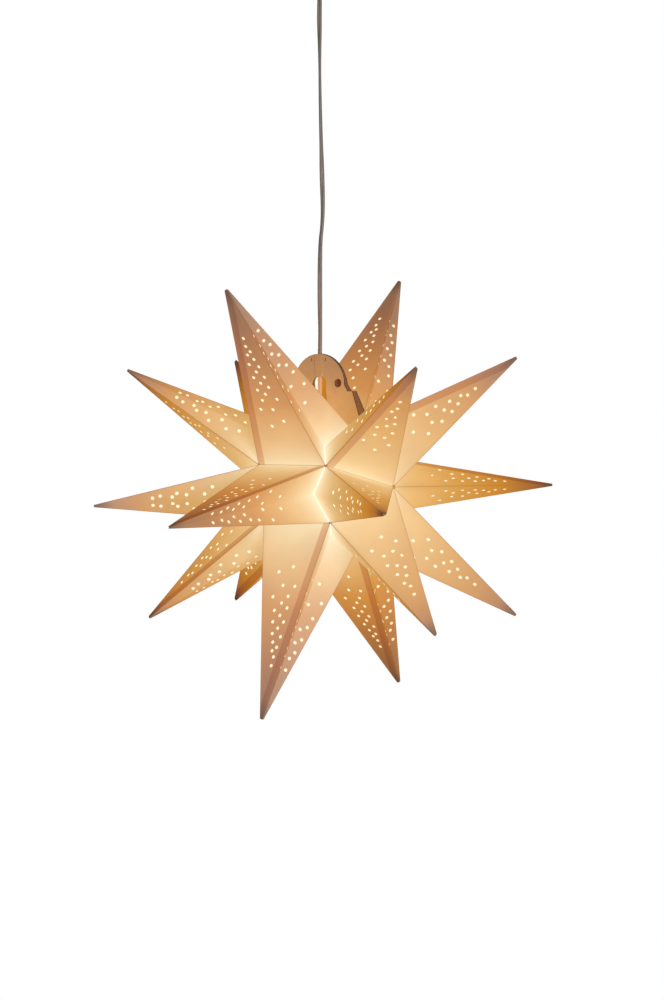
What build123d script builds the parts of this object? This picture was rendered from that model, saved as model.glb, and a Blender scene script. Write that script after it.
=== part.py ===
from build123d import *
from math import cos, radians, sin
import os

# Folded paper star shade on a flat flex, with its lamp and its ceiling fitting.
# Origin: centre of the ceiling face. +Z up, X along the star's own axis, -Y is the front.

# ---------------------------------------------------------------- driving sizes (mm, degrees)
# star
HALF_ANGLE = 28.72          # half the spread of one folded segment, about the star's axis
CREASE_RADIUS = 70.5        # axis to the straight crease between two segments
CREASE_HALF = 49.0          # half the length of that straight crease
POLE_HALF = 100.0           # centre to each pole, where the side points meet
VALLEY_X = 28.5             # gusset valley, along the axis
CENTRE_TIP = 297.0          # axis to the blunt tip of a centre point
SIDE_TIP_X = 209.0          # side point's blunt tip, along the axis
SIDE_TIP_RADIUS = 181.0     # side point's blunt tip, from the axis
TIP_BLUNT = 9.0             # length missing from the sharp tip
TIP_CLOSURE = 1.6           # folded layers that close the tip
PAPER = 0.35                # sheet thickness
STRIP_WIDTH = 9.6           # glued overlap along one ridge
STRIP_CLEAR = 14.0          # overlap stops short of each end of the ridge
HOLE_D = 4.1                # punched holes
POLE_HOLE_D = 5.0           # left open where the side points meet
HALF_GAP = 0.3              # between the two halves of the shade along the lower crease

# hang and lean of the shade on its flex
CENTRE_DROP = 655.0         # ceiling to the star's centre, about
SHADE_LEAN = 1.53           # star's axis rises to the right
SHADE_ROLL = 1.59           # front of the star droops

# card plates at the seam
CARD = 1.2                  # plate thickness
CARD_ARCH_R = 37.0          # arched top
CARD_TOP = 88.0             # arch above the crease
CARD_BEND = 64.0            # bend between the leaning wall and the upright tongue
CARD_STEP_H = 43.1          # step in the side edge
CARD_STEP_IN = 42.0         # half width just above the step
CARD_STEP_OUT = 48.6        # half width just below the step
CARD_BASE_HALF = 65.0       # half width at the crease
CARD_GAP = 2.4              # between the two tongues, which the flex keeps apart
SLOT_HALF = 10.5            # arch-topped slot for the flex and the lampholder
SLOT_TOP = 62.2
SLOT_BASE_HALF = 20.0
EYELET_D = 10.0
EYELET_X = 28.0
EYELET_H = 53.0
SLIT_X = 10.0
SLIT_H = 81.2
SLIT_LENGTH = 4.0
SLIT_WIDTH = 0.9
TAPE_WIDTH = 8.0            # hinge tape inside the lower crease
TAPE_SHORT = 6.0            # tape stops this far from each end of the crease
TAPE = 0.3

# flat twin flex
FLEX_WIDTH = 5.7
FLEX_THICK = 3.3
FLEX_CLEAR = 0.7            # round the flex in the tongue's channel
CORE_D = 2.2
CORE_PITCH = 2.8

# lampholder and lamp, heights from the star's centre
HOLDER_TOP = 64.0
HOLDER_CAP_H = 18.0
HOLDER_BODY_H = 30.0
HOLDER_R = 14.0
HOLDER_NECK_R = 6.5
HOLDER_WALL = 1.6
THREAD_SHELL_R = 7.0        # inside radius of the holder's threaded shell
THREAD_SHELL_WALL = 0.5
LAMP_CLEAR = 0.06           # running clearance of the lamp's cap in the shell
LAMP_CAP_H = 18.5
LAMP_CAP_WALL = 0.4
LAMP_INSULATOR_H = 2.6
LAMP_CONTACT_R = 2.4
LAMP_CONTACT_H = 1.0
LAMP_NECK_R = 9.0
LAMP_HOUSING_H = 19.0
GLOBE_R = 22.5
GLOBE_WALL = 1.0
GLOBE_CUT = 12.5            # globe's rim above its centre
LED_BOARD_R = 11.0
LED_BOARD_H = 1.6

# ceiling fitting
PLATE_R = 40.0
PLATE_T = 2.0
PLATE_HOLE_D = 5.0
PLATE_HOLE_PITCH = 60.0
BLOCK_X = 18.0
BLOCK_Y = 13.0
BLOCK_H = 14.0
STRAP_LEG_X = 14.0
STRAP_T = 1.5
STRAP_WIDTH = 12.0
STRAP_DROP = 36.0
GLAND_R = 8.0
GLAND_H = 12.0
GRIP_CLEAR = 0.15           # plastic round the flex
CUP_TOP_R = 50.0
CUP_BASE_R = 17.0
CUP_H = 60.0
CUP_WALL = 2.0
CUP_CEILING_GAP = 0.5
STOP_R = 7.5
STOP_H = 11.0
GRUB_D = 3.0
GRUB_LENGTH = 5.0

# punched patterns, as (share of the height down from the tip, share across the panel)
PANEL_HOLES = [
    (.294, .473), (.337, .449), (.366, .551), (.384, .400), (.408, .575), (.436, .344), (.449, .637),
    (.477, .492), (.508, .354), (.506, .669), (.539, .494), (.562, .664), (.577, .347), (.600, .509),
    (.634, .384), (.628, .737), (.684, .285), (.686, .545), (.751, .667), (.779, .405)]
SIDE_HOLES = [
    (.329, .56), (.385, .58), (.420, .45), (.456, .62), (.490, .405), (.507, .69), (.541, .52),
    (.572, .32), (.583, .72), (.635, .59), (.637, .37), (.683, .735), (.704, .23), (.753, .52)]
GUSSET_HOLES = [
    (.297, .507), (.356, .384), (.391, .604), (.437, .296), (.461, .641), (.506, .263), (.527, .619),
    (.577, .682), (.634, .166), (.661, .736), (.747, .276)]
SIDE_GUSSET_HOLES = [
    (.362, .35), (.407, .436), (.466, .253), (.500, .462), (.545, .289), (.595, .621), (.640, .224),
    (.700, .522), (.758, .305)]

os.makedirs("parts", exist_ok=True)
written = []


def save(name, shape):
    solids = shape.solids()
    body = solids[0] if len(solids) == 1 else Compound(solids)
    body.label = name
    export_step(body, f"parts/{name}.step")
    written.append(name)


# ---------------------------------------------------------------- small geometry helpers
def meet(planes):
    """Point where three planes, each (point, normal), meet."""
    (p, a), (q, b), (r, c) = planes
    det = a.dot(b.cross(c))
    return (b.cross(c) * p.dot(a) + c.cross(a) * q.dot(b) + a.cross(b) * r.dot(c)) / det


def hull_of(low, high, low_faces):
    """Closed solid between two rings of the same length; low_faces splits the ring into flats."""
    count = len(low)
    faces = []
    for i in range(count):
        j = (i + 1) % count
        faces.append(Face(Wire.make_polygon([low[i], low[j], high[j], high[i]], close=True)))
    for ring in (low, high):
        for flat in low_faces:
            faces.append(Face(Wire.make_polygon([ring[k] for k in flat], close=True)))
    return Solid(Shell(faces))


def wall_planes(apex, ring, depth):
    """Planes of the walls apex-ring[i]-ring[i+1], moved inward by depth."""
    middle = sum(ring, Vector(0, 0, 0)) / len(ring)
    planes = []
    for i, corner in enumerate(ring):
        nxt = ring[(i + 1) % len(ring)]
        normal = (corner - apex).cross(nxt - apex).normalized()
        if normal.dot(apex + (middle - apex) * 0.5 - corner) > 0:
            normal = normal * -1
        planes.append((corner - normal * depth, normal))
    return planes


def toward(apex, corner, share):
    return apex + (corner - apex) * share


def holes_in(apex, start, end, outward, pattern):
    """Punches square to a panel, for shares down and across it."""
    tools = []
    for down, across in pattern:
        centre = apex + (start * (1 - across) + end * across - apex) * down
        tools.append(Plane(origin=centre, z_dir=outward) * Cylinder(HOLE_D / 2, 4 * PAPER + 2))
    return tools


def paper_point(apex, ring, flats, floors, tip_walls, lap_edge, patterns):
    """One folded point: thin walls, open base, closed tip, glued overlap and punched holes.

    ring: base corners in order; flats: the flat parts of the open base.
    floors: for each corner, the plane that fixes the level of the inner corner.
    tip_walls: walls whose inner faces fix the inner tip, or planes where a number can't say it.
    lap_edge: (wall, ridge corner, other corner) of the glued overlap.
    patterns: for each wall, (start corner, end corner, holes).
    """
    middle = sum(ring, Vector(0, 0, 0)) / len(ring)
    length = (middle - apex).length
    blunt = TIP_BLUNT / length
    closed = (TIP_BLUNT + TIP_CLOSURE) / length
    outer = hull_of(ring, [toward(apex, corner, blunt) for corner in ring], flats)

    planes = wall_planes(apex, ring, PAPER)
    low = [meet([planes[i - 1], planes[i], floors[i]]) for i in range(len(ring))]
    tip = meet([planes[wall] if isinstance(wall, int) else wall for wall in tip_walls])
    inner = hull_of(
        [toward(tip, corner, 1.2) for corner in low], [toward(tip, corner, closed) for corner in low], flats)
    sheet = outer - inner

    # glued overlap: a second thickness along one ridge
    wall, ridge_corner, other_corner = lap_edge
    normal = planes[wall][1]
    corner = ring[ridge_corner]
    ridge = (apex - corner).normalized()
    run = (apex - corner).length - 2 * STRIP_CLEAR
    start = corner - normal * PAPER * 0.9 + ridge * STRIP_CLEAR
    lap = Plane(origin=start, x_dir=ridge, z_dir=normal * -1)
    side = 1 if lap.y_dir.dot(ring[other_corner] - corner) > 0 else -1
    overlap = lap * Pos(run / 2, side * STRIP_WIDTH / 2, PAPER * 0.55) * Box(run, STRIP_WIDTH, PAPER * 1.1)
    sheet = sheet + (overlap & outer)

    tools = []
    for i, (first, last, pattern) in enumerate(patterns):
        tools += holes_in(apex, ring[first], ring[last], planes[i][1], pattern)
    return (sheet - tools).solid()


# ---------------------------------------------------------------- one segment, pointing along +Z
crease_y = CREASE_RADIUS * sin(radians(HALF_ANGLE))
crease_z = CREASE_RADIUS * cos(radians(HALF_ANGLE))
floor = (Vector(0, 0, crease_z), Vector(0, 0, 1))


def centre_point(lap_edge):
    a = Vector(-CREASE_HALF, crease_y, crease_z)
    b = Vector(CREASE_HALF, crease_y, crease_z)
    valley_r = Vector(VALLEY_X, 0, crease_z)
    c = Vector(CREASE_HALF, -crease_y, crease_z)
    e = Vector(-CREASE_HALF, -crease_y, crease_z)
    valley_l = Vector(-VALLEY_X, 0, crease_z)
    apex = Vector(0, 0, CENTRE_TIP + TIP_BLUNT)
    patterns = [
        (1, 0, PANEL_HOLES), (2, 1, GUSSET_HOLES), (2, 3, GUSSET_HOLES),
        (3, 4, PANEL_HOLES), (5, 4, GUSSET_HOLES), (5, 0, GUSSET_HOLES)]
    return paper_point(
        apex, [a, b, valley_r, c, e, valley_l], [[0, 1, 2, 5], [5, 2, 3, 4]], [floor] * 6,
        [0, 3, (apex, Vector(1, 0, 0))], lap_edge, patterns)


def side_point():
    b = Vector(CREASE_HALF, crease_y, crease_z)
    valley = Vector(VALLEY_X, 0, crease_z)
    c = Vector(CREASE_HALF, -crease_y, crease_z)
    d = Vector(POLE_HALF, 0, 0)
    ring = [b, valley, c, d]
    blunt = Vector(SIDE_TIP_X, 0, SIDE_TIP_RADIUS)
    middle = sum(ring, Vector(0, 0, 0)) / 4
    apex = blunt + (blunt - middle).normalized() * TIP_BLUNT
    patterns = [
        (1, 0, SIDE_GUSSET_HOLES), (1, 2, SIDE_GUSSET_HOLES), (2, 3, SIDE_HOLES), (0, 3, SIDE_HOLES)]
    sheet = paper_point(
        apex, ring, [[0, 1, 2], [0, 2, 3]], [floor, floor, floor, (d, Vector(1, 0, 0))],
        [0, 1, 2], (2, 2, 3), patterns)
    pole = Pos(POLE_HALF, 0, 0) * Rot(0, 90, 0) * Cylinder(POLE_HOLE_D / 2, 60)
    return (sheet - pole).solid()


# ---------------------------------------------------------------- the six segments on the star's axis
seam_angle = 180 - 6 * HALF_ANGLE                # half the opening between the first and last segment
seam_y = CREASE_RADIUS * sin(radians(seam_angle)) + HALF_GAP / 2
seam_z = CREASE_RADIUS * cos(radians(seam_angle))
hang_z = seam_z + (CARD_BEND + CARD_TOP) / 2     # middle of the tongue, above the star's centre
hang = (
    Pos(0, 0, hang_z - CENTRE_DROP) * Rot(0, -SHADE_LEAN, 0) * Rot(SHADE_ROLL, 0, 0) * Pos(0, 0, -hang_z))

lap_first, lap_last = (0, 1, 0), (3, 4, 3)       # glued ridge: first wall at b, or fourth wall at e
centres = {lap: centre_point(lap) for lap in (lap_first, lap_last)}
right = side_point()
left = Rot(0, 0, 180) * right                    # each side point is glued along its own lower or upper ridge
front_upper = 90 - seam_angle - HALF_ANGLE
SEGMENTS = [
    ("front_upper", 0, True, lap_first), ("front_middle", 1, False, lap_first),
    ("front_lower", 2, False, lap_first), ("back_lower", 3, False, lap_first),
    ("back_middle", 4, True, lap_last), ("back_upper", 5, True, lap_last)]
for name, place, flipped, lap in SEGMENTS:
    angle = radians(front_upper - 2 * HALF_ANGLE * place)
    half = -1 if name.startswith("front") else 1
    radial = Plane(origin=(0, half * HALF_GAP / 2, 0), x_dir=(1, 0, 0), z_dir=(0, -cos(angle), sin(angle)))
    turned = Rot(0, 0, 180 if flipped else 0)
    for side, piece in (("centre", turned * centres[lap]), ("right", right), ("left", left)):
        save(f"point_{name}_{side}", hang * radial.location * piece)


# ---------------------------------------------------------------- card plates that close the seam
def card_outline():
    """Front view of a plate, heights above the crease."""
    flank = CARD_TOP - CARD_ARCH_R
    step_slope = (CARD_BASE_HALF - CARD_STEP_OUT) / CARD_STEP_H
    edge = [
        (CARD_STEP_OUT + step_slope * CARD_STEP_H, 0), (CARD_STEP_OUT, CARD_STEP_H),
        (CARD_STEP_IN, CARD_STEP_H), (CARD_ARCH_R, flank)]
    shape = Polygon(*edge, *[(-x, h) for x, h in reversed(edge)], align=None)
    return shape + Pos(0, flank) * Circle(CARD_ARCH_R)


def slot_outline():
    arch = SLOT_TOP - SLOT_HALF
    bell = arch - 8
    edge = [(SLOT_BASE_HALF, -5), (SLOT_BASE_HALF, 0), (SLOT_HALF, bell), (SLOT_HALF, arch)]
    shape = Polygon(*edge, *[(-x, h) for x, h in reversed(edge)], align=None)
    return shape + Pos(0, arch) * Circle(SLOT_HALF)


def card_plate(side):
    """side -1 is the front plate; both lean together and meet in an upright tongue."""
    face = CARD_GAP / 2
    profile = [
        (side * seam_y, 0), (side * (face + CARD), CARD_BEND), (side * (face + CARD), CARD_TOP),
        (side * face, CARD_TOP), (side * face, CARD_BEND), (side * (seam_y - CARD), 0)]
    bend = Plane.YZ * Polygon(*profile, align=None)
    wall = extrude(bend, CARD_BASE_HALF + 1, both=True)
    channel_x = FLEX_WIDTH / 2 + FLEX_CLEAR
    channel_y = FLEX_THICK / 2 + FLEX_CLEAR
    rise = CARD_TOP - CARD_BEND + 6
    swell = channel_y + CARD - face
    wall += Pos(0, side * (face + swell / 2), CARD_TOP - rise / 2) * Box(2 * (channel_x + CARD), swell, rise)
    wall &= extrude(Plane.XZ * card_outline(), 30, both=True)
    wall -= extrude(Plane.XZ * slot_outline(), 30, both=True)
    wall -= Pos(0, 0, CARD_TOP / 2) * Box(2 * channel_x, 2 * channel_y, 2 * CARD_TOP)
    for x in (-EYELET_X, EYELET_X):
        wall -= Pos(x, 0, EYELET_H) * Rot(90, 0, 0) * Cylinder(EYELET_D / 2, 60)
    for x in (-SLIT_X, SLIT_X):
        wall -= Pos(x, 0, SLIT_H) * Box(SLIT_WIDTH, 60, SLIT_LENGTH)
    return hang * Pos(0, 0, seam_z) * wall


save("card_front", card_plate(-1))
save("card_back", card_plate(1))

# cloth tape that hinges the two halves, inside the lower crease
tape_z = -CREASE_RADIUS + 0.5 + TAPE / 2
save("hinge_tape", hang * Pos(0, 0, tape_z) * Box(2 * (CREASE_HALF - TAPE_SHORT), TAPE_WIDTH, TAPE))


# ---------------------------------------------------------------- flat twin flex
def flex_section(grow=0.0):
    return SlotOverall(FLEX_WIDTH + 2 * grow, FLEX_THICK + 2 * grow)


def flex_run(top, bottom, grow=0.0):
    """The flex, or a hole for it, between two heights."""
    return Pos(0, 0, bottom) * extrude(flex_section(grow), top - bottom)


def wire(points, bend):
    path = FilletPolyline(*points, radius=bend)
    start = Plane(origin=points[0], z_dir=Vector(*points[1]) - Vector(*points[0]))
    return sweep(start * Circle(CORE_D / 2), path=path)


web_z = -PLATE_T - STRAP_DROP                    # underside of the strap's web
flex_top = web_z + STRAP_T + 5
holder_top = -CENTRE_DROP + HOLDER_TOP
neck_h = HOLDER_CAP_H / 3
flex_bottom = holder_top - neck_h - 1
save("flex", flex_run(flex_top, flex_bottom))

# ---------------------------------------------------------------- ceiling fitting
plate = Pos(0, 0, -PLATE_T / 2) * Cylinder(PLATE_R, PLATE_T)
for x in (-PLATE_HOLE_PITCH / 2, PLATE_HOLE_PITCH / 2):
    plate -= Pos(x, 0, -PLATE_T / 2) * Cylinder(PLATE_HOLE_D / 2, 3 * PLATE_T)
rivet_x = STRAP_LEG_X + 4.5
for x in (-rivet_x, rivet_x):
    plate -= Pos(x, 0, -PLATE_T / 2) * Cylinder(1.5, 3 * PLATE_T)
save("mounting_plate", plate)

flange_x = STRAP_LEG_X + 9
strap_top = -PLATE_T
strap_line = [
    (-flange_x, strap_top), (-STRAP_LEG_X + STRAP_T, strap_top), (-STRAP_LEG_X + STRAP_T, web_z + STRAP_T),
    (STRAP_LEG_X - STRAP_T, web_z + STRAP_T), (STRAP_LEG_X - STRAP_T, strap_top), (flange_x, strap_top),
    (flange_x, strap_top - STRAP_T), (STRAP_LEG_X, strap_top - STRAP_T), (STRAP_LEG_X, web_z),
    (-STRAP_LEG_X, web_z), (-STRAP_LEG_X, strap_top - STRAP_T), (-flange_x, strap_top - STRAP_T)]
strap = extrude(Plane.XZ * Polygon(*strap_line, align=None), STRAP_WIDTH / 2, both=True)
strap -= flex_run(web_z + 3 * STRAP_T, web_z - STRAP_T, 0.3)
for x in (-rivet_x, rivet_x):
    strap -= Pos(x, 0, strap_top) * Cylinder(1.5, 4 * STRAP_T)
save("strap", strap)
for name, x in (("rivet_left", -rivet_x), ("rivet_right", rivet_x)):
    shank = Pos(x, 0, -(PLATE_T + STRAP_T) / 2 - 0.1) * Cylinder(1.5, PLATE_T + STRAP_T - 0.2)
    head = Pos(x, 0, -PLATE_T - STRAP_T - 0.6) * Cylinder(2.8, 1.2)
    save(name, shank + head)

block = Pos(0, 0, -PLATE_T - BLOCK_H / 2) * Box(BLOCK_X, BLOCK_Y, BLOCK_H)
pole_x = BLOCK_X / 4
tube_r = 2.3
tube_h = BLOCK_H - 4
block_low = -PLATE_T - BLOCK_H
for x in (-pole_x, pole_x):
    block -= Pos(x, 0, block_low + tube_h / 2) * Cylinder(tube_r + 0.05, tube_h)
    block -= Pos(x, -BLOCK_Y / 4, block_low + tube_h / 2) * Rot(90, 0, 0) * Cylinder(1.3, BLOCK_Y / 2 + 2)
save("terminal_block", block)
for name, x in (("left", -pole_x), ("right", pole_x)):
    tube = Pos(x, 0, block_low + tube_h / 2) * (Cylinder(tube_r, tube_h) - Cylinder(CORE_D / 2 + 0.1, tube_h))
    reach = BLOCK_Y / 2 - CORE_D / 2
    screw_mid = -(BLOCK_Y / 2 + CORE_D / 2) / 2
    bore = Pos(x, screw_mid, block_low + tube_h / 2) * Rot(90, 0, 0) * Cylinder(1.25, reach)
    save(f"terminal_tube_{name}", tube - bore)
    save(f"terminal_screw_{name}", Pos(x, screw_mid, block_low + tube_h / 2) * Rot(90, 0, 0)
         * Cylinder(1.2, reach - 0.1))
    lead = 1 if x > 0 else -1
    points = [
        (lead * CORE_PITCH / 2, 0, flex_top), (lead * CORE_PITCH / 2, 0, flex_top + 2.5),
        (x, 0, block_low - 2), (x, 0, block_low + tube_h - 0.5)]
    save(f"ceiling_wire_{name}", wire(points, 1.5))

gland = Pos(0, 0, web_z - GLAND_H / 2) * Cylinder(GLAND_R, GLAND_H)
gland -= flex_run(web_z + 1, web_z - GLAND_H - 1, GRIP_CLEAR)
grip_y = FLEX_THICK / 2
gland -= Pos(0, -GLAND_R / 2, web_z - GLAND_H / 2) * Rot(90, 0, 0) * Cylinder(GRUB_D / 2 + 0.05, GLAND_R)
save("cord_gland", gland)


def grub(z, outer_r):
    """Set screw from the front, its tip on the flex."""
    length = outer_r - grip_y
    screw = Pos(0, -(outer_r + grip_y) / 2, z) * Rot(90, 0, 0) * Cylinder(GRUB_D / 2, length)
    slot = Pos(0, -outer_r, z) * Box(GRUB_D * 1.2, 1.4, 0.6)
    return screw - slot


save("gland_screw", grub(web_z - GLAND_H / 2, GLAND_R - 0.3))

cup_top = -CUP_CEILING_GAP
cup_low = cup_top - CUP_H
cup_slope = (CUP_TOP_R - CUP_BASE_R) / CUP_H
cup_line = [
    (FLEX_WIDTH / 2 + 0.4, cup_low), (CUP_BASE_R, cup_low), (CUP_TOP_R, cup_top), (CUP_TOP_R - CUP_WALL, cup_top),
    (CUP_BASE_R - CUP_WALL + cup_slope * CUP_WALL, cup_low + CUP_WALL), (FLEX_WIDTH / 2 + 0.4, cup_low + CUP_WALL)]
save("ceiling_cup", revolve(Plane.XZ * Polygon(*cup_line, align=None), Axis.Z))
stop = Pos(0, 0, cup_low - STOP_H / 2) * Cylinder(STOP_R, STOP_H)
stop -= flex_run(cup_low + 1, cup_low - STOP_H - 1, GRIP_CLEAR)
stop -= Pos(0, -STOP_R / 2, cup_low - STOP_H / 2) * Rot(90, 0, 0) * Cylinder(GRUB_D / 2 + 0.05, STOP_R)
save("cup_stop", stop)
stop_screw = grub(cup_low - STOP_H / 2, STOP_R - 0.3)
save("cup_stop_screw", Pos(0, -0.05, 0) * stop_screw)

# ---------------------------------------------------------------- lampholder
body_top = holder_top - HOLDER_CAP_H
body_low = body_top - HOLDER_BODY_H
inner_r = HOLDER_R - HOLDER_WALL
cone_low = body_top + HOLDER_CAP_H / 4
cap_line = [
    (0, holder_top), (HOLDER_NECK_R, holder_top), (HOLDER_NECK_R, holder_top - neck_h), (HOLDER_R, cone_low),
    (HOLDER_R, body_top), (inner_r, body_top), (inner_r, cone_low - 0.5),
    (HOLDER_NECK_R - HOLDER_WALL, holder_top - neck_h - 1), (0, holder_top - neck_h - 1)]
cap = revolve(Plane.XZ * Polygon(*cap_line, align=None), Axis.Z)
cap -= flex_run(holder_top + 1, holder_top - neck_h - 2, GRIP_CLEAR)
cap -= Pos(0, -HOLDER_NECK_R / 2, holder_top - neck_h / 2) * Rot(90, 0, 0) * Cylinder(
    GRUB_D / 2 + 0.05, HOLDER_NECK_R)
save("holder_cap", cap)
save("holder_screw", grub(holder_top - neck_h / 2, HOLDER_NECK_R - 0.2))

lip = 1.0
shell_line = [
    (HOLDER_R, body_top), (HOLDER_R, body_low), (inner_r - 2, body_low), (inner_r - 2, body_low + lip),
    (inner_r, body_low + lip), (inner_r, body_top)]
save("holder_shell", revolve(Plane.XZ * Polygon(*shell_line, align=None), Axis.Z))

thread_r = THREAD_SHELL_R + THREAD_SHELL_WALL
core_low = body_low + lip
core_top = body_top - 2
bore_top = core_top - 5
core = Pos(0, 0, (core_low + core_top) / 2) * Cylinder(inner_r - 0.05, core_top - core_low)
core -= Pos(0, 0, (core_low + bore_top) / 2) * Cylinder(thread_r, bore_top - core_low)
save("holder_core", core)
sleeve_h = bore_top - core_low - 1.5
sleeve = Cylinder(thread_r, sleeve_h) - Cylinder(THREAD_SHELL_R, sleeve_h)
save("holder_thread", Pos(0, 0, core_low + sleeve_h / 2) * sleeve)

lamp_cap_r = THREAD_SHELL_R - LAMP_CLEAR
shoulder = body_low - 0.3                        # where the lamp's cap meets its housing
lamp_contact_top = shoulder + LAMP_CAP_H + LAMP_INSULATOR_H + LAMP_CONTACT_H
contact_h = bore_top - lamp_contact_top - 0.1
save("holder_contact", Pos(0, 0, bore_top - contact_h / 2) * Cylinder(LAMP_CONTACT_R + 0.6, contact_h))
for name, lead in (("left", -1), ("right", 1)):
    points = [
        (lead * CORE_PITCH / 2, 0, flex_bottom), (lead * CORE_PITCH / 2, 0, flex_bottom - 2.5),
        (lead * 4, 0, core_top + 2.5), (lead * 4, 0, core_top)]
    save(f"holder_wire_{name}", wire(points, 1.2))

# ---------------------------------------------------------------- lamp
can = Cylinder(lamp_cap_r, LAMP_CAP_H) - Pos(0, 0, -LAMP_CAP_WALL) * Cylinder(
    lamp_cap_r - LAMP_CAP_WALL, LAMP_CAP_H)
save("lamp_cap", Pos(0, 0, shoulder + LAMP_CAP_H / 2) * can)
insulator_low = shoulder + LAMP_CAP_H
save("lamp_insulator", Pos(0, 0, insulator_low + LAMP_INSULATOR_H / 2) * Cone(
    lamp_cap_r - 1, LAMP_CONTACT_R + 0.6, LAMP_INSULATOR_H))
save("lamp_contact", Pos(0, 0, lamp_contact_top - LAMP_CONTACT_H / 2) * Cylinder(LAMP_CONTACT_R, LAMP_CONTACT_H))
rim_z = shoulder - LAMP_HOUSING_H
globe_z = rim_z - GLOBE_CUT
rim_r = (GLOBE_R ** 2 - GLOBE_CUT ** 2) ** 0.5
housing_line = [
    (0, shoulder), (LAMP_NECK_R, shoulder), (LAMP_NECK_R, shoulder - 3), (rim_r, rim_z + 3), (rim_r, rim_z),
    (0, rim_z)]
save("lamp_housing", revolve(Plane.XZ * Polygon(*housing_line, align=None), Axis.Z))
globe = Sphere(GLOBE_R) - Sphere(GLOBE_R - GLOBE_WALL)
globe -= Pos(0, 0, GLOBE_CUT + GLOBE_R) * Box(3 * GLOBE_R, 3 * GLOBE_R, 2 * GLOBE_R)
save("lamp_globe", Pos(0, 0, globe_z) * globe)
save("led_board", Pos(0, 0, rim_z - LED_BOARD_H / 2) * Cylinder(LED_BOARD_R, LED_BOARD_H))

print(len(written), "nodes; flex", round(flex_top - flex_bottom, 1), "mm, straight, no bend to report")
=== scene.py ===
# %% [markdown]
# # A folded paper star, hung from the ceiling
#
# The real light is a star shade folded from perforated paper, with eighteen long hollow points. A
# small lamp inside makes the paper glow, and two card plates clip the shade to a flat flex. The
# solids come from the CAD model. This file finishes them: light, paper, card, flex, plastic and
# metal.

import bmesh
import bpy
from functools import reduce
from math import cos, pi, radians, sin
from mathutils import Matrix, Vector


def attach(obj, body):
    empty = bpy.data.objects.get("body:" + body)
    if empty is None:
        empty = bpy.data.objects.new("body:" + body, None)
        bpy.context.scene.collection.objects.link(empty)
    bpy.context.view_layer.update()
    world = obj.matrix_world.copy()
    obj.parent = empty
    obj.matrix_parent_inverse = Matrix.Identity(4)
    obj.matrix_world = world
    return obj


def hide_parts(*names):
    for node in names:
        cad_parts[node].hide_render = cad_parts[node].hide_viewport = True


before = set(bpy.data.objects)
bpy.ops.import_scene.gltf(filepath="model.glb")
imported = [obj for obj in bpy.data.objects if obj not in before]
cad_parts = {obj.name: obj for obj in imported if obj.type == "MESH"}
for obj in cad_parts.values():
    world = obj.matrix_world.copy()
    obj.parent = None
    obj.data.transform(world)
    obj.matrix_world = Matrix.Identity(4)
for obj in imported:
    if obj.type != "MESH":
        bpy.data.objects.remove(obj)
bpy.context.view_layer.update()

# %% [markdown]
# Every length here is in metres and in the frame of the CAD model. The star hangs a little askew
# on its flex, so one matrix takes a place on the star, measured from its own centre with the
# star's axis along X, to its place under the ceiling.

# %% The lean of the star
MM = 0.001
CENTRE_DROP = 655 * MM
CREASE_RADIUS = 70.5 * MM
HALF_ANGLE = 28.72
CREASE_HALF = 49 * MM
POLE_HALF = 100 * MM
VALLEY_X = 28.5 * MM
CARD_BEND = 64 * MM
CARD_TOP = 88 * MM
SHADE_LEAN = 1.53
SHADE_ROLL = 1.59
CARD_MIDDLE = 1.8 * MM

seam_angle = 180 - 6 * HALF_ANGLE
seam_z = CREASE_RADIUS * cos(radians(seam_angle))
hang_z = seam_z + (CARD_BEND + CARD_TOP) / 2
hang = (
    Matrix.Translation((0, 0, hang_z - CENTRE_DROP))
    @ Matrix.Rotation(radians(-SHADE_LEAN), 4, "Y")
    @ Matrix.Rotation(radians(SHADE_ROLL), 4, "X")
    @ Matrix.Translation((0, 0, -hang_z))
)
star_centre = hang @ Vector((0, 0, 0))
print("star centre", [round(x, 5) for x in star_centre])

# %% [markdown]
# The camera stands a little over three metres from the star, slightly above its middle and to the
# right of its front, with a lens that frames a metre or so. A narrow lens keeps the far points
# nearly as large as the near ones, as the photograph shows them.

# %% Camera
CAMERA_AZIMUTH = 35.46
CAMERA_RISE = 4.79
PIXEL = 1.2 * MM
# in such pixels: how far the camera stands off, and the star's place from the middle of the frame
CAMERA_PIXELS = 2596.3
STAR_RIGHT = -7.5
STAR_UP = 14.69
SENSOR_HEIGHT = 24
FRAME_PIXELS = 1000

turn, rise = radians(CAMERA_AZIMUTH), radians(CAMERA_RISE)
to_right = Vector((cos(turn), sin(turn), 0))
to_camera = Vector((sin(turn) * cos(rise), -cos(turn) * cos(rise), sin(rise)))
to_up = to_camera.cross(to_right)
camera_data = bpy.data.cameras.new("star_camera")
camera_data.sensor_fit = "VERTICAL"
camera_data.sensor_height = SENSOR_HEIGHT
camera_data.lens = SENSOR_HEIGHT * CAMERA_PIXELS / FRAME_PIXELS
camera_data.clip_start = 0.05
camera_data.clip_end = 60
camera = bpy.data.objects.new("star_camera", camera_data)
camera.matrix_world = Matrix.Translation(
    star_centre + PIXEL * (CAMERA_PIXELS * to_camera - STAR_RIGHT * to_right - STAR_UP * to_up)
) @ Matrix((to_right, to_up, to_camera)).transposed().to_4x4()
bpy.context.collection.objects.link(camera)
bpy.context.scene.camera = camera
bpy.context.scene.view_settings.view_transform = "Standard"
print("camera at", [round(x, 3) for x in camera.location], "lens", round(camera_data.lens, 2))

# %% [markdown]
# The flex is a flat twin cable. It leaves the ceiling cup, hangs straight under the weight of the
# shade, passes between the two card plates and ends in the lampholder. A slow twist and a slight
# bow left over from its drum show as a width that swells and narrows on the way down. One smooth
# curve with a two-core section makes it, and the tilt of each point gives the twist. The section
# is drawn one unit to each side and the radius of the curve's points brings it to size, because
# Blender pads a curve's box by that radius.

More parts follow.
